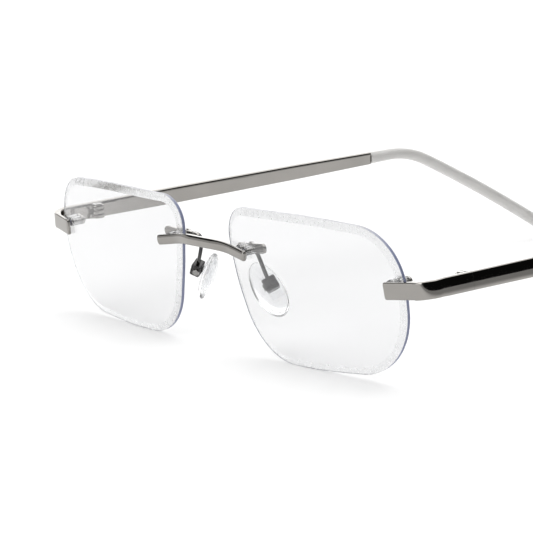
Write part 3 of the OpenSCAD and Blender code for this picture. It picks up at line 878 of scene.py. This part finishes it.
CAMERA_TARGET = to_row(Vector((7.17, 9.58, 16.62)), 1)
CAMERA_DISTANCE = 0.568
CAMERA_AZIMUTH, CAMERA_ELEVATION, CAMERA_ROLL = 54.33, 9.32, -1.35
CAMERA_LENS, CAMERA_SENSOR, CAMERA_CLIP = 190.6, 36, 0.01


def make_floor():
    """A pale floor that glows a little, so that the shadows stay soft."""
    mesh = bpy.data.meshes.new("floor")
    corners = [(x * FLOOR_HALF, y * FLOOR_HALF, 0) for x, y in ((-1, -1), (1, -1), (1, 1), (-1, 1))]
    mesh.from_pydata(corners, [], [(0, 1, 2, 3)])
    floor = bpy.data.objects.new("floor", mesh)
    bpy.context.scene.collection.objects.link(floor)
    s = Shader("pale_floor", Roughness=0.9)
    s.bsdf.inputs["Specular IOR Level"].default_value = 0.0
    s.bsdf.inputs["Emission Color"].default_value = (1, 1, 1, 1)
    # In reflections and through glass, the floor darkens to the right with a painted shade, standing
    # for the shade of a black flag
    away = s.node("ShaderNodeVectorMath", operation="DOT_PRODUCT")
    away.inputs[1].default_value = FLAG_DIR
    s.link(s.place, away.inputs[0])
    painted_flag_shade = s.node("ShaderNodeMapRange", interpolation_type="SMOOTHSTEP")
    painted_flag_shade.inputs["From Min"].default_value = FLAG_START
    painted_flag_shade.inputs["From Max"].default_value = FLAG_END
    s.link(away.outputs["Value"], painted_flag_shade.inputs["Value"])
    seen = s.node("ShaderNodeMath", operation="MULTIPLY")
    s.link(painted_flag_shade.outputs["Result"], seen.inputs[0])
    s.link(s.node("ShaderNodeLightPath").outputs["Is Glossy Ray"], seen.inputs[1])
    levels = (("Base Color", FLOOR_GREY, FLAG_GREY), ("Emission Strength", FLOOR_GLOW, FLAG_GLOW))
    for socket, near, far in levels:
        level = s.node("ShaderNodeMapRange")
        level.inputs["To Min"].default_value = near
        level.inputs["To Max"].default_value = far
        s.link(seen.outputs["Value"], level.inputs["Value"])
        s.link(level.outputs["Result"], s.bsdf.inputs[socket])
    mesh.materials.append(s.material)


def make_world():
    """A pale studio: soft light overhead, at the back and at the front, between dark flags."""
    world = bpy.data.worlds.new("studio")
    bpy.context.scene.world = world
    world.use_nodes = True
    tree = world.node_tree
    tree.nodes.clear()
    place = tree.nodes.new("ShaderNodeTexCoord").outputs["Generated"]

    def lobe(direction, rim, full):
        """1 within a cone round direction and 0 outside it, with a soft rim between two cosines."""
        dot = tree.nodes.new("ShaderNodeVectorMath")
        dot.operation = "DOT_PRODUCT"
        tree.links.new(place, dot.inputs[0])
        dot.inputs[1].default_value = Vector(direction).normalized()
        ramp = tree.nodes.new("ShaderNodeMapRange")
        ramp.interpolation_type = "SMOOTHSTEP"
        ramp.inputs["From Min"].default_value = rim
        ramp.inputs["From Max"].default_value = full
        tree.links.new(dot.outputs["Value"], ramp.inputs["Value"])
        return ramp.outputs["Result"]

    def blended(level, target, amount):
        made = tree.nodes.new("ShaderNodeMix")
        made.data_type = "FLOAT"
        if isinstance(level, float):
            made.inputs["A"].default_value = level
        else:
            tree.links.new(level, made.inputs["A"])
        made.inputs["B"].default_value = target
        tree.links.new(amount, made.inputs["Factor"])
        return made.outputs["Result"]

    level = WALL_LIGHT
    for direction, rim, full, strength in LIGHTS:
        level = blended(level, strength, lobe(direction, rim, full))
    seen = tree.nodes.new("ShaderNodeLightPath").outputs["Is Camera Ray"]
    level = blended(level, BACKDROP_LIGHT, seen)
    background = tree.nodes.new("ShaderNodeBackground")
    tree.links.new(level, background.inputs["Strength"])
    output = tree.nodes.new("ShaderNodeOutputWorld")
    tree.links.new(background.outputs["Background"], output.inputs["Surface"])


def make_camera():
    data = bpy.data.cameras.new("camera")
    data.lens = CAMERA_LENS
    data.sensor_width = CAMERA_SENSOR
    data.clip_start = CAMERA_CLIP
    camera = bpy.data.objects.new("camera", data)
    bpy.context.scene.collection.objects.link(camera)
    sin_az, cos_az = sin_cos(CAMERA_AZIMUTH)
    sin_el, cos_el = sin_cos(CAMERA_ELEVATION)
    back = Vector((sin_az * cos_el, -cos_az * cos_el, sin_el))
    right = Vector((cos_az, sin_az, 0))
    up = back.cross(right)
    sin_roll, cos_roll = sin_cos(CAMERA_ROLL)
    right, up = right * cos_roll + up * sin_roll, up * cos_roll - right * sin_roll
    axes = Matrix((right, up, back)).transposed().to_4x4()
    camera.matrix_world = Matrix.Translation(CAMERA_TARGET + back * CAMERA_DISTANCE) @ axes
    bpy.context.scene.camera = camera


# ---------------------------------------------------------------- the pair
make_camera()
make_floor()
make_world()
make_lenses()
make_bridge()
for word, side in SIDES.items():
    endpiece(word, side)
    temple_bar(word, side)
    temple_tip(word, side)
    pad_arm(word, side)
    nose_pad(word, side)
dress_cad_nodes()

scene = bpy.context.scene
scene.view_settings.view_transform = "Standard"
